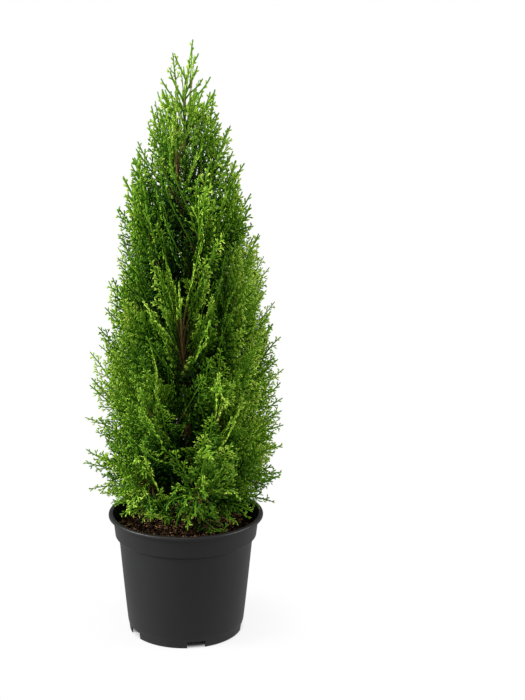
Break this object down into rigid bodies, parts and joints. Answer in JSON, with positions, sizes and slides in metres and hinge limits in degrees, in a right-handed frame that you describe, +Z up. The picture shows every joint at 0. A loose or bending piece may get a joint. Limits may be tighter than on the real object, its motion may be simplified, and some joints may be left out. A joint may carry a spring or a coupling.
{
  "type": "potted thuja",
  "caption": "Young upright evergreen conifer with flat scale-leaved sprays, growing in a round plastic nursery pot of soil.",
  "frame": {"origin": "centre of the pot's flat underside, level with what it stands on", "axes": "+Z up along the trunk, -Y towards the front of the picture, +X to its right"},
  "size_m": [0.2454, 0.2518, 0.7167],
  "materials": {
    "pot": "satin",
    "soil": "matt, crumbly",
    "bark": "matt",
    "foliage": "satin"
  },
  "bodies": {
    "root": {"pot": "pot", "soil": "soil", "trunk": "bark", "bough_low_1": "bark", "bough_low_2": "bark", "bough_low_3": "bark", "bough_low_4": "bark", "bough_low_5": "bark", "bough_low_6": "bark", "bough_mid_1": "bark", "bough_mid_2": "bark", "bough_mid_3": "bark", "bough_mid_4": "bark", "bough_mid_5": "bark", "bough_mid_6": "bark", "bough_upper_1": "bark", "bough_upper_2": "bark", "bough_upper_3": "bark", "bough_upper_4": "bark", "bough_upper_5": "bark", "foliage_skirt_1": "foliage", "foliage_skirt_2": "foliage", "foliage_skirt_3": "foliage", "foliage_skirt_4": "foliage", "foliage_skirt_5": "foliage", "foliage_skirt_6": "foliage", "foliage_skirt_7": "foliage", "foliage_low_1": "foliage", "foliage_low_2": "foliage", "foliage_low_3": "foliage", "foliage_low_4": "foliage", "foliage_low_5": "foliage", "foliage_low_6": "foliage", "foliage_mid_1": "foliage", "foliage_mid_2": "foliage", "foliage_mid_3": "foliage", "foliage_mid_4": "foliage", "foliage_mid_5": "foliage", "foliage_mid_6": "foliage", "foliage_upper_1": "foliage", "foliage_upper_2": "foliage", "foliage_upper_3": "foliage", "foliage_upper_4": "foliage", "foliage_upper_5": "foliage", "foliage_high_1": "foliage", "foliage_high_2": "foliage", "foliage_high_3": "foliage", "foliage_high_4": "foliage", "foliage_tip_1": "foliage", "foliage_tip_2": "foliage", "foliage_tip_3": "foliage"}
  },
  "joints": []
}
